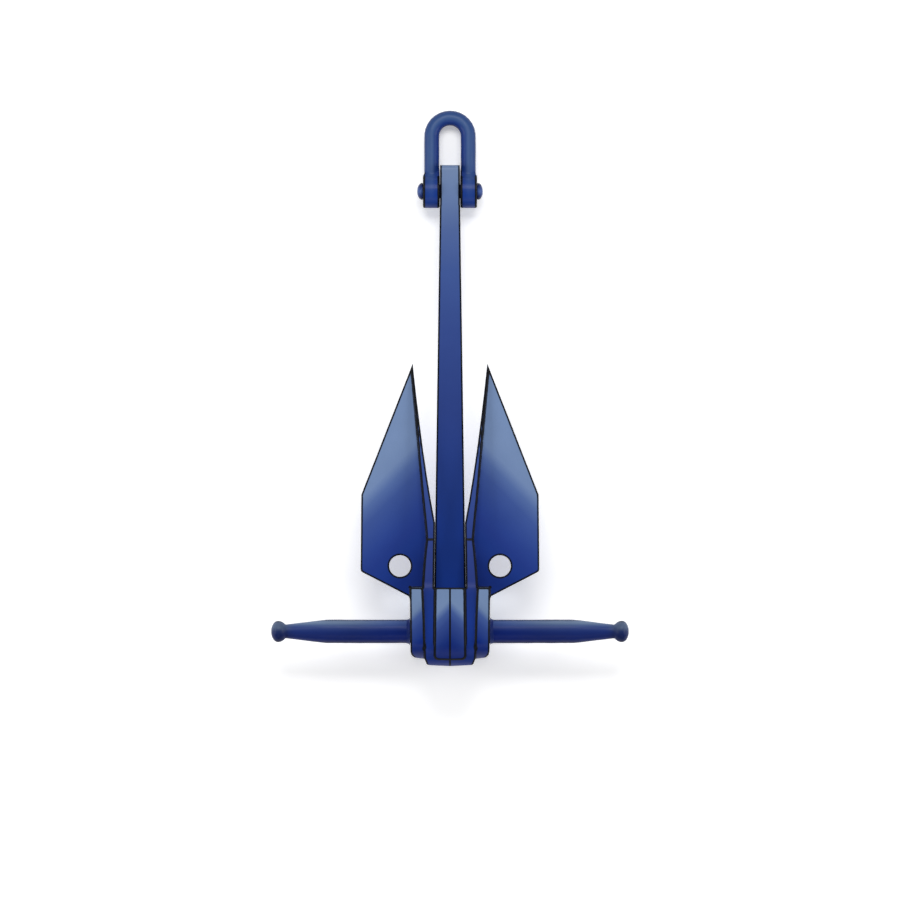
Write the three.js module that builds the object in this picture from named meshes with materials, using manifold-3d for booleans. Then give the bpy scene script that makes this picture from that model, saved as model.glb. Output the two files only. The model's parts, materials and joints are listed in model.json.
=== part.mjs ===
// A twin-fluke stock anchor of painted steel, lying on its crown with the
// shackle on the ground. Millimetres, +Z up. +Y runs from the crown to the
// shackle, X runs along the stock, and z = 0 is the ground. The origin is the
// middle of the anchor's bounding box, on the ground.
//
// The head and the shank are each drawn in a frame of their own, with the stock's
// axis as X and the shackle's side as +Y, and are then laid down as the real
// ones come to rest.

import * as THREE from "three";
import { mergeVertices } from "three/addons/utils/BufferGeometryUtils.js";
import Module from "manifold-3d";

const wasm = await Module();
wasm.setup();

// ---------------------------------------------------------------- dimensions

const GAP = 0.3; // between pieces that touch
const THROUGH = 400; // half length of a cut that goes right through
const ROUND = { bar: 40, hub: 48, pin: 32 }; // sides of each round

// Crown, measured from the stock's axis.
const CROWN_DEPTH = 180; // half, front palm to back palm
const CROWN_TOP = 163; // upper edge of the palms and tongues
const CROWN_FOOT = 128;
const CROWN_FLAT_TO = -25; // the flat faces end here and the round foot begins
const CROWN_FOOT_FLAT = 90; // half depth of the foot's flat end
const BROW_RADIUS = 90; // from the crown's flat into the ribs' slope
const RIB_RECESS = 6; // the ribs lie this far below the palms
const PALM_OUTER_X = 148;
const PALM_FOOT = 101;
const PALM_FOOT_FLAT = 82;
const TONGUE_X = 57;
const TONGUE_FOOT = 104;
const TONGUE_RIDGE = 4; // height of the crease along the tongue's middle
const SLOT_GAP = 1.1; // between the shank and each side of its slot
const STOP_ANGLE = THREE.MathUtils.degToRad(31.3);

// Flukes.
const FLUKE_TIP = [138, 991];
const FLUKE_SHOULDER = [328, 506];
const FLUKE_HEEL = [330.5, 222];
const FLUKE_ROOT = [156, 132];
const FLUKE_ROOT_DEPTH = 20; // half thickness beside the rib
const FLUKE_EDGE_DEPTH = 9; // half thickness at the outer edge
const FLUKE_SECTION_X = [60, 340]; // where those two are measured
const FLUKE_HOLE = { x: 185, y: 242, radius: 40 };
const RIB_BREAK_Y = 340; // where the rib's slope changes
const RIB_BREAK_DEPTH = 76; // half
const RIB_TIP_DEPTH = 9; // half
const FLUKE_TIP_DEPTH = 6; // half
const PAST_TIP_Y = FLUKE_TIP[1] + 6; // where the tapers are drawn to
const RIB_MEETS_Y = 400; // the ribs run along the shank below this
const RIB_END_SHARE = 0.035; // how far down the outer edge the rib runs out

// Stock, bushes, hub.
const STOCK_RADIUS = 43.5;
const STOCK_HALF = 661.5;
const STOCK_TAPER_X = 452;
const STOCK_NECK_RADIUS = 25;
const STOCK_KNOB = { x: 636.5, radius: 39.5, inner: 36 };
const STOCK_CLEARANCE = 1.5; // round the stock, inside the hub
const BUSH_RADIUS = 64;
const BUSH_END_X = 129;
const HUB_RADIUS = 81.5;
const HUB_HALF = 74;
const HUB_CLEARANCE = 4; // round the hub, inside the crown
const HUB_END_CLEARANCE = 1.5;
const WELD = { rise: 8, run: 13 };

// Shank, measured from the stock's axis.
const SHANK_END = 1728;
const SHANK_NOTCH_Y = 1577; // the eye is a little narrower above it
const SHANK_EYE_X = 36.5;
const SHANK_TOP_X = 37.5;
const SHANK_FOOT_X = 58;
const SHANK_FOOT_Y = 163;
const SHANK_DEPTH = 50; // half
const SHANK_END_ROUND = 18;

// Shackle, measured from its pin.
const PIN_Y = 1633; // from the stock's axis
const PIN_RADIUS = 25.5;
const PIN_CLEARANCE = 2; // round the pin, inside the shank's eye
const PIN_HEAD_RADIUS = 31.5;
const PIN_HEAD_X = [100.5, 122];
const BOW_BAR_RADIUS = 28;
const BOW_LEG_X = 67.5; // centre line of each leg
const BOW_TOP = 274; // centre line of the bow's top
const EYE_RADIUS = 62;
const EYE_X = [38.5, 100];
const EYE_SOFTENING = 4; // of the eye's two rims
const EYE_NECK_TOP = 125; // the eye has run out into the bar here

// How it lies: palms flat on the ground, the shank down until the shackle's
// eyes touch, and the bow down until its bar touches.
const SHANK_DIP = Math.asin((CROWN_DEPTH - EYE_RADIUS) / PIN_Y);
const BOW_DIP = Math.asin((EYE_RADIUS - BOW_BAR_RADIUS) / BOW_TOP);
const REACH = PIN_Y * Math.cos(SHANK_DIP) + BOW_TOP * Math.cos(BOW_DIP) + BOW_BAR_RADIUS;
const STOCK_Y = (CROWN_FOOT - REACH) / 2; // the stock's axis from the origin

// ----------------------------------------------------------------- materials

function paint(colour, roughness, metalness) {
  return new THREE.MeshStandardMaterial({ color: colour, roughness, metalness });
}

// ------------------------------------------------------ shapes, joins and cuts

function solid(geometry) {
  const bare = geometry.clone();
  bare.deleteAttribute("normal");
  bare.deleteAttribute("uv");
  const merged = mergeVertices(bare, 1e-3);
  return new wasm.Manifold(
    new wasm.Mesh({
      numProp: 3,
      vertProperties: new Float32Array(merged.attributes.position.array),
      triVerts: new Uint32Array(merged.index.array),
    })
  );
}

function namedMesh(name, body, material) {
  const cut = body.getMesh();
  const geometry = new THREE.BufferGeometry();
  geometry.setAttribute("position", new THREE.BufferAttribute(cut.vertProperties, 3));
  geometry.setIndex(new THREE.BufferAttribute(cut.triVerts, 1));
  geometry.computeVertexNormals();
  const mesh = new THREE.Mesh(geometry, material);
  mesh.name = name;
  return mesh;
}

function outline(points) {
  return new THREE.Shape(points.map(([x, y]) => new THREE.Vector2(x, y)));
}

// A front view (x, y) carried through the whole depth.
function fromFront(shape, halfDepth, steps = 8) {
  const options = { depth: 2 * halfDepth, bevelEnabled: false, curveSegments: steps };
  const geometry = new THREE.ExtrudeGeometry(shape, options);
  geometry.translate(0, 0, -halfDepth);
  return solid(geometry);
}

// A side view (y, z) carried across from x = low to x = high.
function fromSide(shape, low, high, steps = 8) {
  const options = { depth: high - low, bevelEnabled: false, curveSegments: steps };
  const geometry = new THREE.ExtrudeGeometry(shape, options);
  const x = new THREE.Vector3(1, 0, 0);
  const y = new THREE.Vector3(0, 1, 0);
  const z = new THREE.Vector3(0, 0, 1);
  geometry.applyMatrix4(new THREE.Matrix4().makeBasis(y, z, x));
  geometry.translate(low, 0, 0);
  return solid(geometry);
}

// A section (z, x), looking along the shank, carried from y = low to y = high.
function fromEnd(shape, low, high) {
  const geometry = new THREE.ExtrudeGeometry(shape, { depth: high - low, bevelEnabled: false });
  const x = new THREE.Vector3(1, 0, 0);
  const y = new THREE.Vector3(0, 1, 0);
  const z = new THREE.Vector3(0, 0, 1);
  geometry.applyMatrix4(new THREE.Matrix4().makeBasis(z, x, y));
  geometry.translate(0, low, 0);
  return solid(geometry);
}

// A closed profile of (radius, x) turned about the X axis.
function turned(profile, segments) {
  const points = profile.map(([radius, x]) => new THREE.Vector2(radius, x));
  const geometry = new THREE.LatheGeometry(points, segments);
  geometry.rotateZ(-Math.PI / 2);
  return solid(geometry);
}

function roundBar(radius, low, high, segments = ROUND.bar) {
  return turned([[0, low], [radius, low], [radius, high], [0, high]], segments);
}

function joined(first, ...others) {
  return others.reduce((whole, piece) => whole.add(piece), first);
}

function cut(first, ...others) {
  return others.reduce((whole, piece) => whole.subtract(piece), first);
}

// -------------------------------------------------------- the cast steel head

// Side view of a crown: the points of its upper face, the flat, and a round
// foot. The lower face is the mirror image.
function crownSide(upper, depth, foot, footFlat) {
  const reachY = foot + CROWN_FLAT_TO;
  const reachZ = depth - footFlat;
  const shape = new THREE.Shape();
  shape.moveTo(upper[0][0], 0);
  for (const [y, z] of upper) shape.lineTo(y, z);
  shape.lineTo(CROWN_FLAT_TO, depth);
  shape.absellipse(CROWN_FLAT_TO, footFlat, reachY, reachZ, Math.PI / 2, Math.PI, false);
  shape.lineTo(-foot, -footFlat);
  shape.absellipse(CROWN_FLAT_TO, -footFlat, reachY, reachZ, Math.PI, 1.5 * Math.PI, false);
  for (const [y, z] of upper.toReversed()) shape.lineTo(y, -z);
  shape.closePath();
  return shape;
}

// Side view of the ribs and the crown between the palms: a thin tip, a gentle
// slope to the break, a steep one to a round brow, and the flat crown.
function ribSide() {
  const depth = CROWN_DEPTH - RIB_RECESS;
  const fall = Math.atan2(depth - RIB_BREAK_DEPTH, RIB_BREAK_Y - CROWN_TOP);
  const browStart = CROWN_TOP - BROW_RADIUS * Math.tan(fall / 2);
  const brow = [1, 0.75, 0.5, 0.25, 0].map((share) => [
    browStart + BROW_RADIUS * Math.sin(share * fall),
    depth - BROW_RADIUS + BROW_RADIUS * Math.cos(share * fall),
  ]);
  const slope = [[PAST_TIP_Y, RIB_TIP_DEPTH], [RIB_BREAK_Y, RIB_BREAK_DEPTH], ...brow];
  return crownSide(slope, depth, CROWN_FOOT, CROWN_FOOT_FLAT);
}

function shankHalfWidth(y) {
  const share = Math.max(0, (y - SHANK_FOOT_Y) / (SHANK_NOTCH_Y - SHANK_FOOT_Y));
  return SHANK_FOOT_X + (SHANK_TOP_X - SHANK_FOOT_X) * share;
}

function slotHalfWidth(y) {
  return shankHalfWidth(y) + SLOT_GAP;
}

// Front view of one rib, from the fluke's tip down to the crown.
function ribFront(side) {
  const [tipX, tipY] = FLUKE_TIP;
  const endX = THREE.MathUtils.lerp(tipX, FLUKE_SHOULDER[0], RIB_END_SHARE);
  const endY = THREE.MathUtils.lerp(tipY, FLUKE_SHOULDER[1], RIB_END_SHARE);
  const shape = new THREE.Shape();
  shape.moveTo(side * slotHalfWidth(0), 0);
  shape.lineTo(side * 94, 0);
  shape.lineTo(side * 101, CROWN_TOP);
  shape.quadraticCurveTo(side * 96, 268, side * 86, RIB_BREAK_Y);
  shape.quadraticCurveTo(side * 92, 415, side * 100, 486);
  shape.lineTo(side * endX, endY);
  shape.lineTo(side * tipX, tipY);
  shape.quadraticCurveTo(side * 100, 630, side * slotHalfWidth(RIB_MEETS_Y), RIB_MEETS_Y);
  shape.lineTo(side * slotHalfWidth(CROWN_TOP), CROWN_TOP);
  shape.closePath();
  return shape;
}

// Front view of the crown's middle. It runs in under the palms, far in where
// they are proud of it and just in where they are not.
function crownFront() {
  const half = [[110, CROWN_TOP - 1], [110, 0], [97, -30], [94.5, -99], [86, -121], [80, -124]];
  const mirrored = half.map(([x, y]) => [-x, y]).toReversed();
  return outline([...half, [0, -CROWN_FOOT], ...mirrored]);
}

function palmFront(side) {
  const shape = new THREE.Shape();
  shape.moveTo(side * 101, CROWN_TOP);
  shape.lineTo(side * PALM_OUTER_X, CROWN_TOP);
  shape.lineTo(side * (PALM_OUTER_X - 2), -72);
  shape.quadraticCurveTo(side * (PALM_OUTER_X - 4), 4 - PALM_FOOT, side * 118, 3 - PALM_FOOT);
  shape.lineTo(side * 92.5, -PALM_FOOT);
  shape.lineTo(side * 95.5, 42);
  shape.closePath();
  return shape;
}

function tongueFront() {
  const shape = new THREE.Shape();
  shape.moveTo(-TONGUE_X + 2, CROWN_TOP);
  shape.lineTo(-TONGUE_X - 1, -88);
  shape.quadraticCurveTo(-TONGUE_X, -101, -42, 1 - TONGUE_FOOT);
  shape.lineTo(0, -TONGUE_FOOT);
  shape.lineTo(42, 1 - TONGUE_FOOT);
  shape.quadraticCurveTo(TONGUE_X, -101, TONGUE_X + 1, -88);
  shape.lineTo(TONGUE_X - 2, CROWN_TOP);
  shape.closePath();
  return shape;
}

// Both tongues, before the slot parts them: a low roof with its ridge in the
// middle, a little proud of the crown round it.
function tongues() {
  const ridge = CROWN_DEPTH;
  const eave = ridge - TONGUE_RIDGE;
  const half = TONGUE_X + 3;
  const front = [[eave, -half], [ridge, 0], [eave, half]];
  const back = [[-eave, half], [-ridge, 0], [-eave, -half]];
  const roof = outline([...front, ...back]);
  const body = fromFront(tongueFront(), THROUGH);
  const flat = [[CROWN_TOP, ridge]];
  const view = crownSide(flat, ridge, CROWN_FOOT + RIB_RECESS, CROWN_FOOT_FLAT + 2);
  const side = fromSide(view, -half, half);
  return body.intersect(fromEnd(roof, -CROWN_FOOT, CROWN_TOP)).intersect(side);
}

function flukeFront(side) {
  const [heelX, heelY] = FLUKE_HEEL;
  const [rootX, rootY] = FLUKE_ROOT;
  const shape = new THREE.Shape();
  shape.moveTo(side * FLUKE_TIP[0], FLUKE_TIP[1]);
  shape.lineTo(side * FLUKE_SHOULDER[0], FLUKE_SHOULDER[1]);
  shape.lineTo(side * heelX, heelY + 8);
  shape.quadraticCurveTo(side * heelX, heelY, side * (heelX - 8), heelY - 4);
  shape.lineTo(side * rootX, rootY);
  shape.quadraticCurveTo(side * PALM_OUTER_X, rootY - 4, side * PALM_OUTER_X, rootY - 22);
  shape.lineTo(side * 90, rootY - 22);
  shape.lineTo(side * 82, RIB_BREAK_Y);
  shape.lineTo(side * 98, 486);
  shape.closePath();
  return shape;
}

// A blade is thick beside its rib and thin at its outer edge and towards its tip.
function fluke(side) {
  const [inner, outer] = FLUKE_SECTION_X.map((x) => side * x);
  const section = outline([
    [-FLUKE_ROOT_DEPTH, inner],
    [-FLUKE_EDGE_DEPTH, outer],
    [FLUKE_EDGE_DEPTH, outer],
    [FLUKE_ROOT_DEPTH, inner],
  ]);
  const drawnOut = outline([
    [0, FLUKE_ROOT_DEPTH],
    [FLUKE_SHOULDER[1], FLUKE_ROOT_DEPTH],
    [PAST_TIP_Y, FLUKE_TIP_DEPTH],
    [PAST_TIP_Y, -FLUKE_TIP_DEPTH],
    [FLUKE_SHOULDER[1], -FLUKE_ROOT_DEPTH],
    [0, -FLUKE_ROOT_DEPTH],
  ]);
  const blade = fromFront(flukeFront(side), THROUGH);
  const flat = fromEnd(section, 0, PAST_TIP_Y);
  return blade.intersect(flat).intersect(fromSide(drawnOut, -THROUGH, THROUGH));
}

function flukeHole(side) {
  const circle = new THREE.Shape();
  circle.absarc(side * FLUKE_HOLE.x, FLUKE_HOLE.y, FLUKE_HOLE.radius, 0, 2 * Math.PI, false);
  return fromFront(circle, THROUGH / 2, 20);
}

// The room that the shank's foot sweeps from stop to stop, with the way in for
// the hub below it.
function swingSlot() {
  const c = Math.cos(STOP_ANGLE);
  const s = Math.sin(STOP_ANGLE);
  const far = 900;
  const [sunk, raised] = [SHANK_DEPTH * s, SHANK_DEPTH * c];
  const wedge = outline([
    [-sunk, raised],
    [far * c - sunk, far * s + raised],
    [far * c - sunk, -far * s - raised],
    [-sunk, -raised],
  ]);
  const half = [-2 * CROWN_FOOT, 0, SHANK_FOOT_Y, far].map((y) => [slotHalfWidth(y), y]);
  const mirrored = half.map(([x, y]) => [-x, y]).toReversed();
  const width = fromFront(outline([...half, ...mirrored]), THROUGH);
  return fromSide(wedge, -THROUGH, THROUGH).intersect(width);
}

function hubPocket() {
  const half = HUB_HALF + HUB_END_CLEARANCE;
  const radius = HUB_RADIUS + HUB_CLEARANCE;
  const below = -2 * CROWN_FOOT;
  const mouth = outline([[0, radius], [0, -radius], [below, -radius], [below, radius]]);
  return joined(roundBar(radius, -half, half, ROUND.hub), fromSide(mouth, -half, half));
}

function crownAndFlukes() {
  const side = fromSide(ribSide(), -PALM_OUTER_X, PALM_OUTER_X);
  const palmTop = [[CROWN_TOP, CROWN_DEPTH]];
  const palmView = crownSide(palmTop, CROWN_DEPTH, PALM_FOOT, PALM_FOOT_FLAT);
  const palmSide = fromSide(palmView, -PALM_OUTER_X, PALM_OUTER_X);
  const middle = fromFront(crownFront(), THROUGH).intersect(side);
  const pieces = [tongues()];
  for (const hand of [-1, 1]) {
    pieces.push(fromFront(ribFront(hand), THROUGH, 6).intersect(side));
    pieces.push(fromFront(palmFront(hand), THROUGH, 6).intersect(palmSide));
    pieces.push(fluke(hand));
  }
  return cut(
    joined(middle, ...pieces),
    swingSlot(),
    hubPocket(),
    roundBar(BUSH_RADIUS, -BUSH_END_X, BUSH_END_X, ROUND.hub),
    roundBar(STOCK_RADIUS + GAP, -THROUGH, THROUGH),
    flukeHole(-1),
    flukeHole(1)
  );
}

// --------------------------------------------------- stock, bushes and welds

// A round bar that tapers to each end and closes with an egg-shaped knob.
function stock() {
  const { x, radius, inner } = STOCK_KNOB;
  const outer = STOCK_HALF - x;
  const quarter = Math.PI / 2;
  const start = Math.asin(STOCK_NECK_RADIUS / radius);
  const swelling = [0, 0.25, 0.5, 0.75].map((share) => {
    const angle = start + (quarter - start) * share;
    return [radius * Math.sin(angle), x - inner * Math.cos(angle)];
  });
  const closing = [6, 5, 4, 3, 2, 1, 0].map((step) => {
    const angle = (quarter * step) / 6;
    return [radius * Math.sin(angle), x + outer * Math.cos(angle)];
  });
  const half = [[STOCK_RADIUS, STOCK_TAPER_X], ...swelling, ...closing];
  const other = half.map(([r, along]) => [r, -along]).toReversed();
  return turned([...other, ...half], ROUND.bar);
}

function bush(side) {
  const inner = STOCK_RADIUS + GAP;
  const outer = BUSH_RADIUS - GAP;
  const near = side * (HUB_HALF + GAP);
  const far = side * (BUSH_END_X - GAP);
  const [low, high] = side > 0 ? [near, far] : [far, near];
  const ring = [[inner, low], [outer, low], [outer, high], [inner, high], [inner, low]];
  return turned(ring, ROUND.hub);
}

// A fillet of weld metal in the corner between the stock and a cheek.
function weld(side) {
  const inner = STOCK_RADIUS + GAP;
  const root = PALM_OUTER_X + GAP;
  const ring = [
    [inner, side * root],
    [inner + WELD.rise, side * root],
    [inner + WELD.rise * 0.45, side * (root + WELD.run * 0.3)],
    [inner + 1, side * (root + WELD.run)],
    [inner, side * (root + WELD.run)],
    [inner, side * root],
  ];
  return turned(side > 0 ? ring : ring.toReversed(), ROUND.bar);
}

// -------------------------------------------------------------------- shank

function shankFront() {
  const half = [
    [SHANK_FOOT_X, 0],
    [SHANK_FOOT_X, SHANK_FOOT_Y],
    [SHANK_TOP_X, SHANK_NOTCH_Y],
    [SHANK_EYE_X, SHANK_NOTCH_Y + 3],
    [SHANK_EYE_X, SHANK_END],
  ];
  const mirrored = half.map(([x, y]) => [-x, y]).toReversed();
  return outline([...half, ...mirrored]);
}

function shankSide() {
  const round = SHANK_END_ROUND;
  const roundFrom = SHANK_END - round;
  const shape = new THREE.Shape();
  shape.moveTo(0, -SHANK_DEPTH);
  shape.lineTo(roundFrom, -SHANK_DEPTH);
  shape.absarc(roundFrom, round - SHANK_DEPTH, round, -Math.PI / 2, 0, false);
  shape.absarc(roundFrom, SHANK_DEPTH - round, round, 0, Math.PI / 2, false);
  shape.lineTo(0, SHANK_DEPTH);
  shape.closePath();
  return shape;
}

function shank() {
  const bar = fromFront(shankFront(), THROUGH).intersect(fromSide(shankSide(), -THROUGH, THROUGH));
  const pinHole = roundBar(PIN_RADIUS + PIN_CLEARANCE, -THROUGH, THROUGH, ROUND.pin);
  return cut(
    joined(bar, roundBar(HUB_RADIUS, -HUB_HALF, HUB_HALF, ROUND.hub)),
    roundBar(STOCK_RADIUS + STOCK_CLEARANCE, -THROUGH, THROUGH),
    pinHole.translate(0, PIN_Y, 0)
  );
}

// ------------------------------------------------------------------ shackle

class BowLine extends THREE.Curve {
  constructor(legX, top) {
    super();
    this.legX = legX;
    this.straight = top - legX;
    this.total = 2 * this.straight + Math.PI * legX;
  }

  getPoint(t, target = new THREE.Vector3()) {
    const along = t * this.total;
    const arc = Math.PI * this.legX;
    if (along <= this.straight) return target.set(-this.legX, along, 0);
    if (along >= this.straight + arc) return target.set(this.legX, this.total - along, 0);
    const angle = Math.PI - (along - this.straight) / this.legX;
    return target.set(this.legX * Math.cos(angle), this.straight + this.legX * Math.sin(angle), 0);
  }
}

function eyeDisc(side) {
  const [near, far] = EYE_X;
  const profile = [
    [0, near],
    [EYE_RADIUS - EYE_SOFTENING, near],
    [EYE_RADIUS, near + EYE_SOFTENING],
    [EYE_RADIUS, far - EYE_SOFTENING],
    [EYE_RADIUS - EYE_SOFTENING, far],
    [0, far],
  ];
  const mirrored = profile.map(([radius, x]) => [radius, -x]).toReversed();
  return turned(side > 0 ? profile : mirrored, ROUND.bar);
}

// The flat-sided neck that runs from the eye's disc out into the round bar.
function eyeNeck(side) {
  const top = [EYE_NECK_TOP, BOW_BAR_RADIUS - 7];
  const touch = Math.atan2(top[1], top[0]) + Math.acos(EYE_RADIUS / Math.hypot(...top));
  const drop = new THREE.Shape();
  drop.moveTo(...top);
  drop.absarc(0, 0, EYE_RADIUS, touch, 2 * Math.PI - touch, false);
  drop.lineTo(top[0], -top[1]);
  drop.closePath();
  const [near, far] = EYE_X;
  const barFar = BOW_LEG_X + BOW_BAR_RADIUS;
  const front = outline([
    [side * (near + 1), 0],
    [side * (far - 1), 0],
    [side * (far - 1), 54],
    [side * (barFar - 1), 66],
    [side * (barFar - 10), EYE_NECK_TOP],
    [side * (near + 10), EYE_NECK_TOP],
    [side * (near + 1), 80],
  ]);
  return fromSide(drop, -THROUGH, THROUGH, 12).intersect(fromFront(front, THROUGH));
}

function shackleBow() {
  const circle = new THREE.Shape();
  circle.absarc(0, 0, BOW_BAR_RADIUS, 0, 2 * Math.PI, false);
  const options = { steps: 44, curveSegments: 10, bevelEnabled: false };
  options.extrudePath = new BowLine(BOW_LEG_X, BOW_TOP);
  const bar = solid(new THREE.ExtrudeGeometry(circle, options));
  const bow = joined(bar, eyeDisc(-1), eyeDisc(1), eyeNeck(-1), eyeNeck(1));
  return bow.subtract(roundBar(PIN_RADIUS + GAP, -THROUGH, THROUGH, ROUND.pin));
}

function shacklePin() {
  const [base, tip] = PIN_HEAD_X;
  const height = tip - base;
  const dome = [0.25, 0.5, 0.75].map((part) => {
    const angle = (part * Math.PI) / 2;
    return [PIN_HEAD_RADIUS * Math.cos(angle), base + height * Math.sin(angle)];
  });
  const half = [[PIN_RADIUS, 0], [PIN_RADIUS, base], [PIN_HEAD_RADIUS, base], ...dome, [0, tip]];
  const other = half.slice(1).map(([radius, x]) => [radius, -x]).toReversed();
  return turned([...other, ...half.slice(1)], ROUND.pin);
}

// ----------------------------------------------------------------- assembly

const anchor = new THREE.Group();

const head = new THREE.Group();
head.position.set(0, STOCK_Y, CROWN_DEPTH);
head.add(
  namedMesh("crown_and_flukes", crownAndFlukes(), paint(0x3a539a, 0.42, 0.35)),
  namedMesh("stock", stock(), paint(0x24356f, 0.34, 0.35)),
  namedMesh("pivot_bush_left", bush(-1), paint(0x6a6258, 0.45, 0.85)),
  namedMesh("pivot_bush_right", bush(1), paint(0x6a6258, 0.45, 0.85)),
  namedMesh("stock_weld_left", weld(-1), paint(0x22326a, 0.5, 0.35)),
  namedMesh("stock_weld_right", weld(1), paint(0x22326a, 0.5, 0.35))
);
anchor.add(head);

const swung = new THREE.Group();
swung.position.copy(head.position);
swung.rotation.x = -SHANK_DIP;
swung.add(namedMesh("shank", shank(), paint(0x3c528d, 0.4, 0.35)));
anchor.add(swung);

const shackle = new THREE.Group();
shackle.position.set(0, PIN_Y, 0);
shackle.rotation.x = SHANK_DIP - BOW_DIP;
shackle.add(
  namedMesh("shackle_bow", shackleBow(), paint(0x415a8a, 0.36, 0.35)),
  namedMesh("shackle_pin", shacklePin(), paint(0x415a8a, 0.36, 0.35))
);
swung.add(shackle);

export default anchor;
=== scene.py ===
import json
import math

import bmesh
import bpy
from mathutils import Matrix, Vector, kdtree, noise


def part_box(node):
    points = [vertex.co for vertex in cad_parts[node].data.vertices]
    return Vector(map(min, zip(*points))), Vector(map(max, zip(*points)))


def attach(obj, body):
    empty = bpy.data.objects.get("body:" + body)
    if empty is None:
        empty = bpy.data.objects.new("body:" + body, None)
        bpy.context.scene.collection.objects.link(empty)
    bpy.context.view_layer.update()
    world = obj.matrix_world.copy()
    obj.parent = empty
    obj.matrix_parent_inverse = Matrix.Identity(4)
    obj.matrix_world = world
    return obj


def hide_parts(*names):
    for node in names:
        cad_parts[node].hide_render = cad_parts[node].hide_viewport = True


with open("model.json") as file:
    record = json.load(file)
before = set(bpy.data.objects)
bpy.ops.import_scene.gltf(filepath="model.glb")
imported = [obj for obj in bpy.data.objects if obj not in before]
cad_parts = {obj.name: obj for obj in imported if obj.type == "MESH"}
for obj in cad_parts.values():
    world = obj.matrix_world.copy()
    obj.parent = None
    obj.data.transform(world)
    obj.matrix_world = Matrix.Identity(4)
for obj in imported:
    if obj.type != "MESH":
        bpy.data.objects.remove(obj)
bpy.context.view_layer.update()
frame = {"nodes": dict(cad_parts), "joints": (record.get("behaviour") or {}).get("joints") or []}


# ------------------------------------------------------------ crown and flukes
# One steel casting: two flat fluke blades, their stiffening ribs, two cheek
# palms and the hollow crown between them. It is poured in a sand mould, so its
# edges are round and its skin is grainy, and then painted blue.

hinges = {joint["name"]: joint for joint in frame["joints"]}
stock_axis = Vector(hinges["shank_swing"]["pos_m"])

CAST_GRID = 0.0046  # spacing of the casting's skin
CAST_ROUNDING = 2  # smoothing passes over its edges
CAST_SWELL = 0.0003  # height of its slow unevenness
CAST_LUMP = 0.06  # size of that unevenness
UNEVEN = (0.9, 2.0, 3)  # how rough it is: dimension, lacunarity and octaves

CROWN_TOP = 0.163  # above the stock's axis
DRESSED_FROM_Y = stock_axis.y + CROWN_TOP + 0.012
SLOT_HALF = 0.0591  # half width of the shank's slot at the crown's top
SLOT_NARROWS = 0.0145  # metres for each metre above that
SLOT_DRESSED = 0.0006  # how far its walls stand in towards the shank
ON_WALL = 0.0008  # a point this near to a slot wall is on it
WALL_FACING = 0.7  # how squarely it has to face the shank


def place(piece):
    bpy.context.scene.collection.objects.link(piece)
    return piece


def fine_skin(name, node, grid, rounding, swell, lump, dressed=None):
    """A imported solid's surface on a fine grid, edges rounded, with a slow unevenness.

    dressed takes a vertex and its swell, and gives how far it really moves out.
    """
    piece = place(bpy.data.objects.new(name, frame["nodes"][node].data.copy()))
    longest = max(piece.dimensions)
    depth = math.ceil(math.log2(longest / grid))
    remesh = piece.modifiers.new("grid", "REMESH")
    remesh.mode = "SHARP"
    remesh.octree_depth = depth
    remesh.scale = min(0.99, longest / (grid * 2**depth))
    remesh.use_remove_disconnected = False
    soften = piece.modifiers.new("soften", "SMOOTH")
    soften.factor = 0.5
    soften.iterations = rounding
    depsgraph = bpy.context.evaluated_depsgraph_get()
    skin = bpy.data.meshes.new_from_object(piece.evaluated_get(depsgraph))
    piece.modifiers.clear()
    piece.data = skin
    skin.name = name
    moved = []
    for vertex in skin.vertices:
        out = swell * noise.fractal(vertex.co / lump, *UNEVEN)
        if dressed:
            out = dressed(vertex, out)
        moved.append(vertex.co + vertex.normal * out)
    for vertex, spot in zip(skin.vertices, moved):
        vertex.co = spot
    skin.polygons.foreach_set("use_smooth", [True] * len(skin.polygons))
    skin.materials.clear()
    return piece


def slot_wall(vertex, swell):
    """The slot's two walls are dressed flat between the ribs, to a close fit on the shank."""
    wall = SLOT_HALF - SLOT_NARROWS * (vertex.co.y - stock_axis.y - CROWN_TOP)
    if vertex.co.y < DRESSED_FROM_Y or abs(abs(vertex.co.x) - wall) > ON_WALL:
        return swell
    if vertex.co.x * vertex.normal.x > 0:
        return swell
    flat = max(0.0, (abs(vertex.normal.x) - WALL_FACING) / (1 - WALL_FACING))
    return swell * (1 - flat) + SLOT_DRESSED * flat


SAME_POINT = 1e-5
SPOT_STEP = 0.003  # between the spots that stand for an edge
SPOTS_NEAR = 6  # spots that each point looks at
NO_EDGE_NEAR = 1.0
SOFT_FURTHER = 0.008  # how much further away a soft edge seems
SOFT_ACROSS_FURTHER = -0.002  # and one straight across the anchor, which seems nearer


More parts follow.
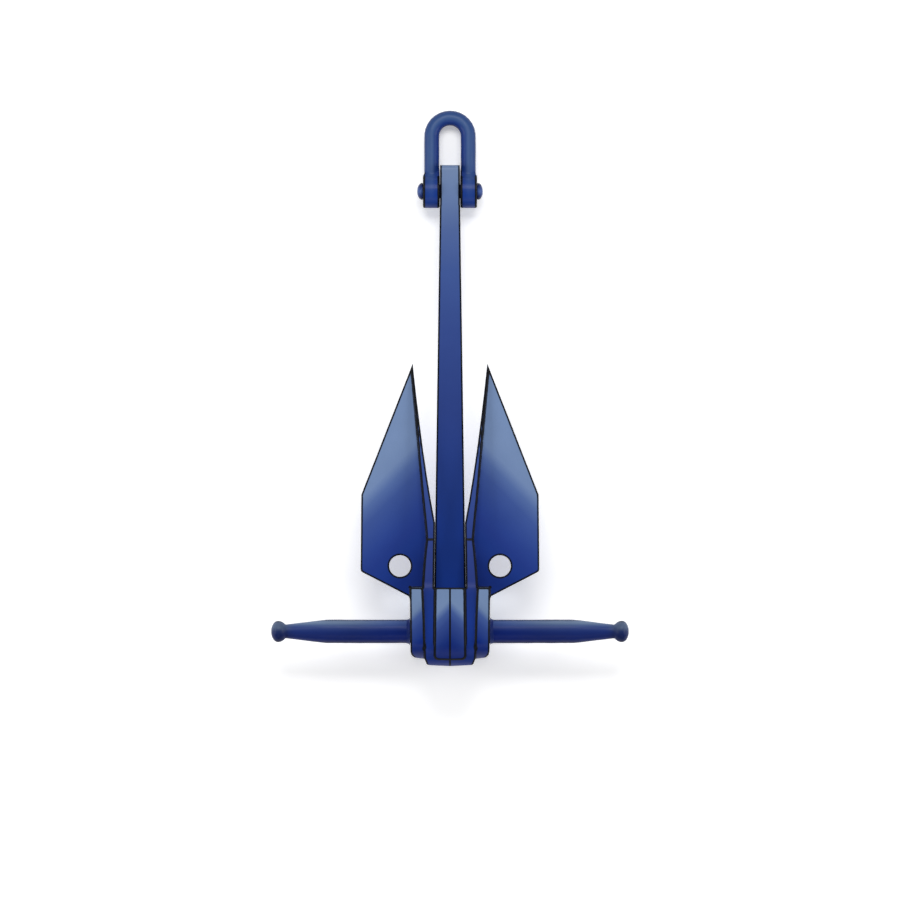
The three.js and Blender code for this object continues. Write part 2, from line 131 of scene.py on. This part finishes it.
def note_edges(piece, node, least=math.radians(18), firm=math.radians(40), counts=None):
    """Writes how far each point is from the solid's outer edges and inner corners.

    An edge is full from its firm bend on and fades out down to its least bend. counts
    takes an edge's two ends and tells whether it is an edge to note.
    """
    solid = bmesh.new()
    solid.from_mesh(frame["nodes"][node].data)
    bmesh.ops.remove_doubles(solid, verts=solid.verts, dist=SAME_POINT)
    spots = {"edge": [], "corner": []}
    for line in solid.edges:
        if len(line.link_faces) != 2:
            continue
        bend = line.calc_face_angle_signed()
        start, end = (vertex.co for vertex in line.verts)
        if abs(bend) < least or (counts and not counts(start, end)):
            continue
        length = (end - start).length
        softness = max(0.0, (firm - abs(bend)) / (firm - least))
        across = abs(end.x - start.x) > 0.9 * length
        further = softness * (SOFT_ACROSS_FURTHER if across else SOFT_FURTHER)
        count = max(2, int(length / SPOT_STEP))
        row = [(start.lerp(end, step / count), further) for step in range(count + 1)]
        spots["edge" if bend > 0 else "corner"].extend(row)
    solid.free()
    for kind, row in spots.items():
        tree = kdtree.KDTree(len(row))
        for index, (spot, _) in enumerate(row):
            tree.insert(spot, index)
        tree.balance()
        reach = []
        for vertex in piece.data.vertices:
            near = tree.find_n(vertex.co, SPOTS_NEAR)
            seen = (away + row[index][1] for _, index, away in near)
            reach.append(min(seen, default=NO_EDGE_NEAR))
        layer = piece.data.attributes.new(kind, "FLOAT", "POINT")
        layer.data.foreach_set("value", reach)


class Tone:
    """A shader socket. Arithmetic on it adds Math nodes to its material."""

    def __init__(self, tree, socket=None):
        self.tree = tree
        self.socket = socket

    def node(self, kind, settings=(), inputs=(), out=0):
        """Adds a node: its settings first, then the values or links of its sockets."""
        made = self.tree.nodes.new(kind)
        for key, value in dict(settings).items():
            if key == "stops":
                ramp = made.color_ramp.elements
                while len(ramp) < len(value):
                    ramp.new(1.0)
                for stop, (position, colour) in zip(ramp, value):
                    stop.position = position
                    stop.color = colour
            else:
                setattr(made, key, value)
        for key, value in dict(inputs).items():
            if isinstance(value, Tone):
                self.tree.links.new(value.socket, made.inputs[key])
            else:
                made.inputs[key].default_value = value
        return Tone(self.tree, made.outputs[out]) if made.outputs else Tone(self.tree)

    def maths(self, operation, *values):
        return self.node("ShaderNodeMath", {"operation": operation}, enumerate(values))

    def __add__(self, other):
        return self.maths("ADD", self, other)

    def __sub__(self, other):
        return self.maths("SUBTRACT", self, other)

    def __rsub__(self, other):
        return self.maths("SUBTRACT", other, self)

    def __mul__(self, other):
        return self.maths("MULTIPLY", self, other)

    def __lt__(self, other):
        return self.maths("LESS_THAN", self, other)

    def __gt__(self, other):
        return self.maths("GREATER_THAN", self, other)

    def __abs__(self):
        return self.maths("ABSOLUTE", self)

    __radd__ = __add__
    __rmul__ = __mul__

    def larger(self, other):
        return self.maths("MAXIMUM", self, other)

    def root(self):
        return self.maths("SQRT", self)

    def parts(self):
        """The x, y and z of this vector."""
        apart = self.node("ShaderNodeSeparateXYZ", {}, {"Vector": self})
        return [Tone(self.tree, socket) for socket in apart.socket.node.outputs]

    def clouds(self, scale, detail):
        """Soft noise at this place, 0 to 1."""
        sockets = {"Vector": self, "Scale": scale, "Detail": detail}
        return self.node("ShaderNodeTexNoise", {}, sockets)

    def between(self, low, high):
        """0 at low, 1 at high, smooth in between."""
        sockets = {"Value": self, "From Min": low, "From Max": high}
        return self.node("ShaderNodeMapRange", {"interpolation_type": "SMOOTHSTEP"}, sockets)

    def over(self, below, colour):
        """This socket is the share of colour laid over below."""
        sockets = {0: self, 6: below, 7: colour}
        return self.node("ShaderNodeMix", {"data_type": "RGBA"}, sockets, out=2)

    def fade(self, stops):
        """A colour that changes along this distance. Stops are (metres, colour)."""
        low, high = stops[0][0], stops[-1][0]
        sockets = {"Value": self, "From Min": low, "From Max": high}
        share = self.node("ShaderNodeMapRange", {}, sockets)
        even = [((metres - low) / (high - low), colour) for metres, colour in stops]
        return self.node("ShaderNodeValToRGB", {"stops": even}, {"Fac": share})

    def surface(self, skin):
        """Ends the material in a Principled shader with these sockets."""
        shader = self.node("ShaderNodeBsdfPrincipled", {}, skin)
        self.node("ShaderNodeOutputMaterial", {}, {"Surface": shader})


def bare_material(name):
    """A material with no nodes yet, and the tone that adds them."""
    made = bpy.data.materials.new(name)
    made.use_nodes = True
    made.node_tree.nodes.clear()
    return made, Tone(made.node_tree)


def dye(red, green, blue):
    """A paint-chart colour, 0 to 255 a channel, as the shader's linear one."""
    def linear(part):
        part = part / 255
        return part / 12.92 if part <= 0.04045 else ((part + 0.055) / 1.055) ** 2.4
    return (linear(red), linear(green), linear(blue), 1.0)


# Painted shade: near-black lines along the outer edges and in the inner corners of the painted
# pieces.
EDGE_SHADE_COLOUR = dye(6, 8, 14)
EDGE_SHADE_REACH = 0.0066  # how far the dark of an edge reaches
RAGGED = 0.0016  # how uneven the border of the painted edge shade is
PAINT_COAT = {"Coat Weight": 0.06, "Coat Roughness": 0.2, "IOR": 1.45, "Specular IOR Level": 0.13}


def paint(name, colour_of, grain, grain_size=0.0045, gloss=0.46, line=0.0, crease_of=None):
    """Blue enamel of the colour that colour_of gives, with a fine grain.

    With a line it has painted shade: dark along the noted edges, corners and creases.
    """
    made, tone = bare_material(name)
    spot = tone.node("ShaderNodeTexCoord", out="Object")
    x, y, z = spot.parts()
    cloud = spot.clouds(9.0, 4.0)
    speck = spot.clouds(1 / grain_size, 3.0)
    brush_and_border_noise = spot.clouds(70.0, 2.0)
    value = 0.84 + cloud * 0.14 + speck * 0.06
    mixed = {"Color": colour_of(x, y, z), "Saturation": 1.04, "Value": value}
    colour = tone.node("ShaderNodeHueSaturation", {}, mixed)
    rough = gloss + (cloud - 0.5) * 0.16 + (speck - 0.5) * 0.12
    if line:
        # Painted shade along the edges, in the corners and down the creases.
        ragged = brush_and_border_noise * RAGGED - RAGGED / 2
        edge = tone.node("ShaderNodeAttribute", {"attribute_name": "edge"}, out="Fac")
        corner = tone.node("ShaderNodeAttribute", {"attribute_name": "corner"}, out="Fac")
        edge_shade = 1 - (edge + ragged).between(line * 0.75, line * 1.2)
        corner_shade = 1 - (corner + ragged).between(line * 0.3, line * 0.75)
        dark = edge_shade.larger(corner_shade)
        if crease_of:
            dark = dark.larger(crease_of(x, y, z))
        colour = dark.over(colour, EDGE_SHADE_COLOUR)
        rough = rough + dark * 0.3
    height = speck * grain + brush_and_border_noise * 0.0003
    bump = tone.node("ShaderNodeBump", {}, {"Strength": 0.7, "Distance": 1.0, "Height": height})
    tone.surface({"Base Color": colour, "Roughness": rough, "Normal": bump, **PAINT_COAT})
    return made


# Across the anchor plus up from the stock's axis, so that the colour runs askew. The flukes,
# palms and tongues carry painted shading: lighter up and out towards the tips and the ledge,
# where the light falls, darker down by the crown.
FLUKE_PAINTED_SHADING = [
    (0.36, dye(27, 48, 117)),
    (0.459, dye(36, 59, 132)),
    (0.522, dye(41, 61, 133)),
    (0.577, dye(46, 67, 136)),
    (0.64, dye(54, 75, 139)),
    (0.707, dye(63, 84, 143)),
    (0.766, dye(82, 104, 154)),
    (0.82, dye(110, 131, 169)),
    (0.88, dye(113, 134, 170)),
]
PALM_PAINTED_SHADING = [
    (0.07, dye(22, 43, 116)),
    (0.092, dye(34, 54, 120)),
    (0.137, dye(49, 69, 129)),
    (0.175, dye(66, 87, 142)),
    (0.203, dye(104, 125, 160)),
    (0.23, dye(111, 132, 166)),
]
TONGUE_PAINTED_SHADING = [
    (-0.045, dye(24, 42, 110)),
    (-0.015, dye(31, 50, 114)),
    (0.044, dye(49, 68, 127)),
    (0.081, dye(65, 86, 140)),
    (0.1, dye(89, 110, 154)),
    (0.118, dye(109, 130, 165)),
]
# Straight up from the stock's axis: painted shading on the ribs, darker low down by the crown and
# lighter up towards the tips.
RIB_PAINTED_SHADING = [
    (-0.095, dye(25, 47, 120)),
    (0.034, dye(31, 54, 128)),
    (0.15, dye(32, 51, 116)),
    (0.179, dye(30, 47, 110)),
    (0.375, dye(45, 63, 126)),
    (0.634, dye(60, 81, 143)),
    (0.95, dye(88, 108, 157)),
]

# The outer side of a rib and the inner side of a palm, each as two straight lines:
# metres outwards for each metre up, and metres out at the stock's axis.
RIB_SIDE = [(0.0748, 0.0636), (-0.0847, 0.1148)]
PALM_SIDE = [(0.0455, 0.0936), (0.0175, 0.0948)]
PALM_OUTER = 0.1488
LEDGE = 0.1645  # the palms and tongues end here
TONGUE_HALF = 0.0585
TONGUE_FOOT = -0.106
TONGUE_DEEP = 0.1  # only the faces this far out from the middle plane
CREASE_SHADE_HALF = (0.0026, 0.0044)  # half width of the painted crease shade, from full to none
CREASE_SHADE_DEEP = 0.06


def outermost(up, sides):
    (rise, start), (other_rise, other_start) = sides
    return (up * rise + start).larger(up * other_rise + other_start)


# Painted shading: each zone of the casting takes its own ramp, dark near the crown and light
# towards the tips and the ledge.
def casting_colour(x, y, z):
    across = abs(x)
    up = y - stock_axis.y
    deep = abs(z - stock_axis.z)
    askew = across + up
    below_ledge = up < LEDGE
    on_palm = below_ledge * (across > outermost(up, PALM_SIDE)) * (across < PALM_OUTER)
    on_tongue = below_ledge * (across < TONGUE_HALF) * (deep > TONGUE_DEEP) * (up > TONGUE_FOOT)
    on_rib = across < outermost(up, RIB_SIDE)
    colour = on_rib.over(askew.fade(FLUKE_PAINTED_SHADING), up.fade(RIB_PAINTED_SHADING))
    colour = on_palm.over(colour, askew.fade(PALM_PAINTED_SHADING))
    return on_tongue.over(colour, askew.fade(TONGUE_PAINTED_SHADING))


def casting_crease_shade(x, y, z):
    """Painted shade: a dark line down the middle of the tongue and the crown's foot, where its
    two halves meet.
    """
    crease_shade = 1 - abs(x).between(*CREASE_SHADE_HALF)
    return crease_shade * (y - stock_axis.y < CROWN_TOP) * (abs(z - stock_axis.z) > CREASE_SHADE_DEEP)


head = fine_skin(
    "cast_head", "crown_and_flukes", CAST_GRID, CAST_ROUNDING, CAST_SWELL, CAST_LUMP, slot_wall
)
note_edges(head, "crown_and_flukes")
head.data.materials.append(
    paint("cast_blue", casting_colour, grain=0.0003, line=EDGE_SHADE_REACH, crease_of=casting_crease_shade)
)
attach(head, "head")
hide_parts("crown_and_flukes")


# -------------------------------------------------------------- pivot bushes
# Two turned steel rings in the crown's cheeks, one each side of the hub. They
# carry the stock and keep the hub in the middle. They are greased, not painted.

STEEL = dye(150, 142, 132)
GREASE = dye(74, 60, 42)

bush_metal, bush_tone = bare_material("greased_steel")
bush_spot = bush_tone.node("ShaderNodeTexCoord", out="Object")
turning_marks = bush_tone.node(
    "ShaderNodeTexWave",
    {"bands_direction": "X"},
    {"Vector": bush_spot, "Scale": 160.0, "Distortion": 0.4},
)
smear = bush_spot.clouds(45.0, 3.0)
bush_bump = bush_tone.node("ShaderNodeBump", {}, {"Distance": 0.0002, "Height": turning_marks})
bush_tone.surface({
    "Base Color": smear.between(0.35, 0.7).over(STEEL, GREASE),
    "Roughness": 0.28 + smear * 0.3,
    "Metallic": 0.9 - smear * 0.4,
    "Normal": bush_bump,
})
for node in ("pivot_bush_left", "pivot_bush_right"):
    bush = frame["nodes"][node].data
    bush.materials.clear()
    bush.materials.append(bush_metal)


# --------------------------------------------------------------------- shank
# One long forging: a tapered bar, an eye for the shackle's pin at its head and
# a round hub at its foot that turns on the stock. Hammered flat, then painted.

SHANK_GRID = 0.0042
SHANK_ROUNDING = 2
SHANK_SWELL = 0.0002
SHANK_LUMP = 0.09

# Up from the stock's axis. Painted shading: light towards the eye, darker down the bar, bluer and
# brighter between the ribs against their shadow, and darkest on the hub inside the crown.
SHANK_PAINTED_SHADING = [
    (0.1, dye(22, 38, 88)),
    (0.15, dye(35, 68, 160)),
    (0.26, dye(34, 64, 147)),
    (0.38, dye(33, 60, 137)),
    (0.523, dye(34, 57, 125)),
    (0.819, dye(43, 61, 122)),
    (1.115, dye(50, 69, 128)),
    (1.337, dye(60, 81, 137)),
    (1.485, dye(75, 95, 144)),
    (1.633, dye(97, 117, 155)),
    (1.72, dye(107, 126, 159)),
]


def shank_colour(x, y, z):
    return (y - stock_axis.y).fade(SHANK_PAINTED_SHADING)


bar = fine_skin("forged_shank", "shank", SHANK_GRID, SHANK_ROUNDING, SHANK_SWELL, SHANK_LUMP)
note_edges(bar, "shank")
bar.data.materials.append(
    paint("shank_blue", shank_colour, grain=0.00008, grain_size=0.004, line=EDGE_SHADE_REACH)
)
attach(bar, "shank")
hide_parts("shank")


# --------------------------------------------------------------------- stock
# One forged round bar through the crown, tapered by hammer at both ends to a
# neck and a knob that is smaller than the bar, so that it slides in sideways.

stock_low, stock_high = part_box("stock")
STOCK_RADIUS = (stock_high.z - stock_low.z) / 2
STOCK_REACH = stock_high.x
TAPER_START = STOCK_REACH - 0.2095
TAPER_EASE = 0.06  # share of the taper over which the bar bends into it
NECK_X = STOCK_REACH - 0.05
NECK_RADIUS = 0.025
KNOB_X = STOCK_REACH - 0.025
KNOB_RADIUS = 0.0395
KNOB_INNER = 0.036  # half length of its inner side
KNOB_FILLET = 0.004
STOCK_RINGS = 260
STOCK_SIDES = 72
TIP_FLAT = 0.004  # radius of the small flat that closes each end


def stock_radius(x):
    """The bar's radius at a distance from its middle: bar, taper and egg-shaped knob."""
    x = abs(x)
    share = min(1.0, max(0.0, (x - TAPER_START) / (NECK_X - TAPER_START)))
    eased = share * share / (share + TAPER_EASE) * (1 + TAPER_EASE)
    tapered = STOCK_RADIUS + (NECK_RADIUS - STOCK_RADIUS) * eased
    half_knob = STOCK_REACH - KNOB_X if x > KNOB_X else KNOB_INNER
    off = min(1.0, abs(x - KNOB_X) / half_knob)
    knob = KNOB_RADIUS * math.sqrt(1 - off * off)
    if x > KNOB_X:
        return knob
    blend = max(0.0, 1 - abs(tapered - knob) / KNOB_FILLET)
    return max(tapered, knob) + KNOB_FILLET * blend * blend / 4


def stock_rows():
    """Rows of (x, radius), closer together towards the ends."""
    rows = []
    for step in range(STOCK_RINGS + 1):
        x = -math.cos(math.pi * step / STOCK_RINGS) * (STOCK_REACH - 0.0002)
        rows.append((x, max(TIP_FLAT, stock_radius(x))))
    return rows


def piece_from(name, made):
    """A piece with a smooth surface from a finished bmesh."""
    bmesh.ops.recalc_face_normals(made, faces=made.faces)
    mesh = bpy.data.meshes.new(name)
    made.to_mesh(mesh)
    made.free()
    mesh.polygons.foreach_set("use_smooth", [True] * len(mesh.polygons))
    return place(bpy.data.objects.new(name, mesh))


def turned_piece(name, rows, sides, swell, lump):
    """A closed round piece about an X axis. Rows are (x, radius), from end to end."""
    made = bmesh.new()
    rings = []
    for x, radius in rows:
        centre = Vector((x, 0, 0))
        ring = []
        for side in range(sides):
            angle = 2 * math.pi * side / sides
            out = Vector((0, math.cos(angle), math.sin(angle)))
            uneven = swell * noise.fractal((centre + out * radius) / lump, *UNEVEN)
            ring.append(made.verts.new(centre + out * (radius + uneven)))
        rings.append(ring)
    for low, high in zip(rings, rings[1:]):
        for side in range(sides):
            after = (side + 1) % sides
            made.faces.new((low[side], low[after], high[after], high[side]))
    made.faces.new(list(reversed(rings[0])))
    made.faces.new(rings[-1])
    return piece_from(name, made)


# Towards the shank from the stock's axis, from one flank of the bar to the other. Painted light
# and shade: a painted highlight on the side towards the shank, darker on the far side, and
# painted shade on both flanks.
STOCK_PAINTED_SHADING = [
    (-0.0435, dye(12, 24, 70)),
    (-0.03, dye(18, 36, 103)),
    (-0.015, dye(22, 38, 100)),
    (0.0, dye(31, 47, 105)),
    (0.0144, dye(44, 61, 114)),
    (0.022, dye(68, 85, 128)),
    (0.029, dye(92, 111, 141)),
    (0.036, dye(104, 122, 150)),
    (0.0435, dye(44, 54, 80)),
]
# The same painted highlight, fainter near the crown, where the bar is in shade.
STOCK_PAINTED_SHADING_NEAR_CROWN = [
    (-0.0435, dye(12, 24, 72)),
    (-0.03, dye(16, 36, 112)),
    (0.0, dye(20, 38, 105)),
    (0.0144, dye(34, 52, 114)),
    (0.029, dye(66, 86, 138)),
    (0.036, dye(76, 96, 146)),
    (0.0435, dye(34, 44, 76)),
]
KNOB_PAINTED_SHADING = [
    (-0.04, dye(10, 22, 62)),
    (-0.03, dye(12, 28, 76)),
    (-0.015, dye(18, 31, 80)),
    (0.0, dye(32, 45, 88)),
    (0.0144, dye(72, 86, 112)),
    (0.03, dye(78, 91, 116)),
    (0.04, dye(44, 52, 70)),
]


def stock_colour(x, y, z):
    """Painted highlight along the side towards the shank, most of all far from the crown, with
    painted shade on both flanks.
    """
    far_out = abs(x).between(0.15, 0.42)
    at_knob = abs(x).between(0.57, 0.63)
    bar_colour = far_out.over(y.fade(STOCK_PAINTED_SHADING_NEAR_CROWN), y.fade(STOCK_PAINTED_SHADING))
    return at_knob.over(bar_colour, y.fade(KNOB_PAINTED_SHADING))


stock = turned_piece("forged_stock", stock_rows(), STOCK_SIDES, swell=0.0006, lump=0.07)
stock.location = stock_axis
stock.data.materials.append(paint("stock_blue", stock_colour, grain=0.00008, gloss=0.5))
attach(stock, "head")
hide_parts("stock")


# --------------------------------------------------------------------- welds
# A fillet of weld metal round the stock at each cheek locks it in the crown.
# It is laid by hand, so it is rippled, and it is painted with the rest.

WELD_GAP = 0.0003  # left to the stock and to the cheek
WELD_RISE = 0.0078
WELD_RUN = 0.0125
WELD_TURNS = 240
WELD_RIPPLES = 46
WELD_ACROSS = 10


def weld_bead(name, side, cheek):
    """A ring of overlapping ripples in the corner between stock and cheek."""
    made = bmesh.new()
    loops = []
    inner = STOCK_RADIUS + WELD_GAP
    for turn in range(WELD_TURNS):
        angle = 2 * math.pi * turn / WELD_TURNS
        out = Vector((0, math.cos(angle), math.sin(angle)))
        beat = abs(math.sin(WELD_RIPPLES * angle / 2 + 0.4 * math.sin(5 * angle)))
        size = 0.88 + 0.1 * beat + 0.05 * math.sin(3 * angle + side)
        loop = []
        for step in range(WELD_ACROSS + 1):
            share = step / WELD_ACROSS
            hollow = 1 - 0.35 * math.sin(math.pi * share)
            rise = inner + size * WELD_RISE * (1 - share) * hollow
            run = cheek + side * (WELD_GAP + size * WELD_RUN * share * hollow)
            loop.append(made.verts.new(Vector((run, 0, 0)) + out * rise))
        loop.append(made.verts.new(Vector((cheek + side * WELD_GAP, 0, 0)) + out * inner))
        loops.append(loop)
    for turn, loop in enumerate(loops):
        after = loops[(turn + 1) % WELD_TURNS]
        for step in range(len(loop)):
            near = (step + 1) % len(loop)
            made.faces.new((loop[step], loop[near], after[near], after[step]))
    return piece_from(name, made)


# Painted shade: the weld is darker towards the cheek, in the corner between stock and crown.
def weld_colour(x, y, z):
    return abs(x).fade([(0.14, dye(20, 34, 88)), (0.17, dye(26, 43, 104))])


weld_paint = paint("weld_blue", weld_colour, grain=0.0001)
for side, node in ((-1, "stock_weld_left"), (1, "stock_weld_right")):
    low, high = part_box(node)
    bead = weld_bead("bead_" + node, side, high.x if side < 0 else low.x)
    bead.location = (0, stock_axis.y, stock_axis.z)
    bead.data.materials.append(weld_paint)
    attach(bead, "head")
    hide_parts(node)


# --------------------------------------------------------------- shackle bow
# A round bar bent to a U and forged to a round eye at each end. The bow is
# smooth from the die and painted.

pin_axis = Vector(hinges["shackle_swing"]["pos_m"])
BOW_GRID = 0.0026
BOW_ROUNDING = 8
BOW_SWELL = 0.0003
BOW_LUMP = 0.05
BOW_EDGE_SHADE_REACH = 0.0045
BOW_LEG_X = 0.0675
BOW_ARC_Y = pin_axis.y + 0.205
EYE_RIM_REACH = 0.0635  # the rims are no further than this from the pin's axis
EYE_BARREL = (0.0435, 0.0955)  # across the anchor, between an eye's two rims

# Painted shade on the bow towards its eyes.
BOW_PAINTED_SHADE = dye(31, 56, 128)
# Outwards from the middle line of the bent bar: a painted highlight along its middle, with
# painted shade falling off to both flanks, soonest on the inner side.
BOW_PAINTED_SHADING = [
    (-0.028, dye(20, 36, 92)),
    (-0.021, dye(30, 52, 115)),
    (-0.0137, dye(38, 60, 120)),
    (-0.0095, dye(46, 68, 121)),
    (-0.006, dye(54, 77, 125)),
    (0.0, dye(62, 85, 129)),
    (0.008, dye(59, 82, 126)),
    (0.014, dye(53, 76, 123)),
    (0.021, dye(45, 67, 115)),
    (0.028, dye(30, 48, 92)),
]


def bow_colour(x, y, z):
    """Painted highlight along the middle and outer side of the bar; painted shade on its inner
    side, on both flanks and towards the eyes.
    """
    past = (y - BOW_ARC_Y).larger(0.0)
    outward = (x * x + past * past).root() - BOW_LEG_X
    lit = (y - pin_axis.y).between(-0.08, 0.12)
    return lit.over(BOW_PAINTED_SHADE, outward.fade(BOW_PAINTED_SHADING))


def on_eye_rim(start, end):
    """True for the round rims of the two eyes' flat faces."""
    reach = math.hypot(start.y - pin_axis.y, start.z - pin_axis.z)
    near, far = EYE_BARREL
    return reach < EYE_RIM_REACH and not near < abs((start.x + end.x) / 2) < far


bow = fine_skin("forged_bow", "shackle_bow", BOW_GRID, BOW_ROUNDING, BOW_SWELL, BOW_LUMP)
# Painted shade lines round the rims of the eyes' flat faces.
note_edges(bow, "shackle_bow", math.radians(30), counts=on_eye_rim)
bow.data.materials.append(paint("bow_blue", bow_colour, grain=0.00007, gloss=0.4, line=BOW_EDGE_SHADE_REACH))
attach(bow, "shackle")
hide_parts("shackle_bow")


# --------------------------------------------------------------- shackle pin
# A steel pin through both eyes and the shank, its two ends hammered over into
# low domes, so that it cannot come out.

pin_low, pin_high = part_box("shackle_pin")
SHAFT_RADIUS = 0.0255
HEAD_RADIUS = (pin_high.z - pin_low.z) / 2
HEAD_HEIGHT = 0.0215
HEAD_LIP = 0.003  # rounding where the dome meets the eye
LIP_STEPS = 4
DOME_STEPS = 16
PIN_SIDES = 64


def pin_rows():
    seat = pin_high.x - HEAD_HEIGHT
    half = [(0.0, SHAFT_RADIUS), (seat - 0.0005, SHAFT_RADIUS)]
    for step in range(LIP_STEPS + 1):
        turn = math.pi / 2 * step / LIP_STEPS
        x = seat + HEAD_LIP - HEAD_LIP * math.cos(turn)
        half.append((x, HEAD_RADIUS - HEAD_LIP + HEAD_LIP * math.sin(turn)))
    for step in range(1, DOME_STEPS + 1):
        turn = math.pi / 2 * step / DOME_STEPS
        x = seat + HEAD_LIP + (HEAD_HEIGHT - HEAD_LIP - 0.0003) * math.sin(turn)
        half.append((x, max(0.002, HEAD_RADIUS * math.cos(turn))))
    return [(-x, radius) for x, radius in reversed(half[1:])] + half


# Out from the pin's axis, towards the shank and away from it: a painted highlight in the middle
# of each dome, darkening to painted shade at its rim.
DOME_PAINTED_SHADING = [
    (0.0, dye(66, 88, 142)),
    (0.008, dye(52, 72, 126)),
    (0.018, dye(30, 47, 100)),
    (0.027, dye(16, 28, 68)),
    (0.0315, dye(8, 12, 26)),
]


def pin_colour(x, y, z):
    return abs(y).fade(DOME_PAINTED_SHADING)


pin = turned_piece("peened_pin", pin_rows(), PIN_SIDES, swell=0.0005, lump=0.012)
pin.location = pin_axis
pin.data.materials.append(paint("pin_blue", pin_colour, grain=0.00007, gloss=0.36))
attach(pin, "shackle")
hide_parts("shackle_pin")


# ------------------------------------------------------ ground, lamps, camera
# The anchor lies on a plain pale floor, lit faintly from below like a light
# table, under large soft lamps. The camera looks straight down on it, with the
# shackle at the top of the view.

FLOOR_HALF = 40.0
FLOOR_GLOW = 0.32
FLOOR_SHADES = [(0.90, 0.90, 0.90, 1), (0.93, 0.93, 0.935, 1)]

floor_mesh = bpy.data.meshes.new("pale_floor")
floor_corners = [(-1, -1), (1, -1), (1, 1), (-1, 1)]
floor_mesh.from_pydata(
    [(x * FLOOR_HALF, y * FLOOR_HALF, 0) for x, y in floor_corners], [], [(0, 1, 2, 3)]
)
floor = place(bpy.data.objects.new("pale_floor", floor_mesh))
floor_paint, floor_tone = bare_material("pale_floor")
mottle = floor_tone.node("ShaderNodeTexCoord", out="Object").clouds(1.2, 5.0)
floor_colour = mottle.over(*FLOOR_SHADES)
floor_tone.surface({
    "Base Color": floor_colour,
    "Roughness": 0.75 + mottle * 0.1,
    "Specular IOR Level": 0.2,
    "Emission Color": floor_colour,
    "Emission Strength": FLOOR_GLOW,
})
floor_mesh.materials.append(floor_paint)

world = bpy.data.worlds.new("pale_room")
world.use_nodes = True
world.node_tree.nodes["Background"].inputs["Color"].default_value = (1.0, 1.0, 1.0, 1)
world.node_tree.nodes["Background"].inputs["Strength"].default_value = 0.25
bpy.context.scene.world = world

LAMPS_AIM = Vector((0.0, -0.25, 0.15))


def soft_lamp(name, spot, width, height, watts):
    lamp = bpy.data.lights.new(name, "AREA")
    lamp.shape = "RECTANGLE"
    lamp.size = width
    lamp.size_y = height
    lamp.energy = watts
    body = place(bpy.data.objects.new(name, lamp))
    body.location = spot
    body.rotation_euler = (LAMPS_AIM - Vector(spot)).to_track_quat("-Z", "Y").to_euler()
    body.visible_camera = False


soft_lamp("beyond_shackle", (0.0, 5.0, 7.0), 6.0, 3.0, 430)
soft_lamp("left_side", (-6.8, -0.2, 3.4), 5.0, 2.6, 300)
soft_lamp("right_side", (6.8, -0.2, 3.4), 5.0, 2.6, 300)
soft_lamp("below_crown", (0.0, -6.8, 5.0), 5.0, 3.0, 90)

VIEW_WIDTH = 3.33  # metres across the view, at VIEW_HEIGHT above the floor
VIEW_HEIGHT = 0.15
VIEW_MIDDLE_Y = -0.2293
LENS = 1200.0
SENSOR = 36.0

camera_data = bpy.data.cameras.new("camera")
camera_data.lens = LENS
camera_data.sensor_width = SENSOR
camera_data.clip_end = 300.0
camera = place(bpy.data.objects.new("camera", camera_data))
camera.location = (0.0, VIEW_MIDDLE_Y, VIEW_HEIGHT + VIEW_WIDTH * LENS / SENSOR)
camera.rotation_euler = (0.0, 0.0, 0.0)
bpy.context.scene.camera = camera
bpy.context.scene.view_settings.view_transform = "Standard"
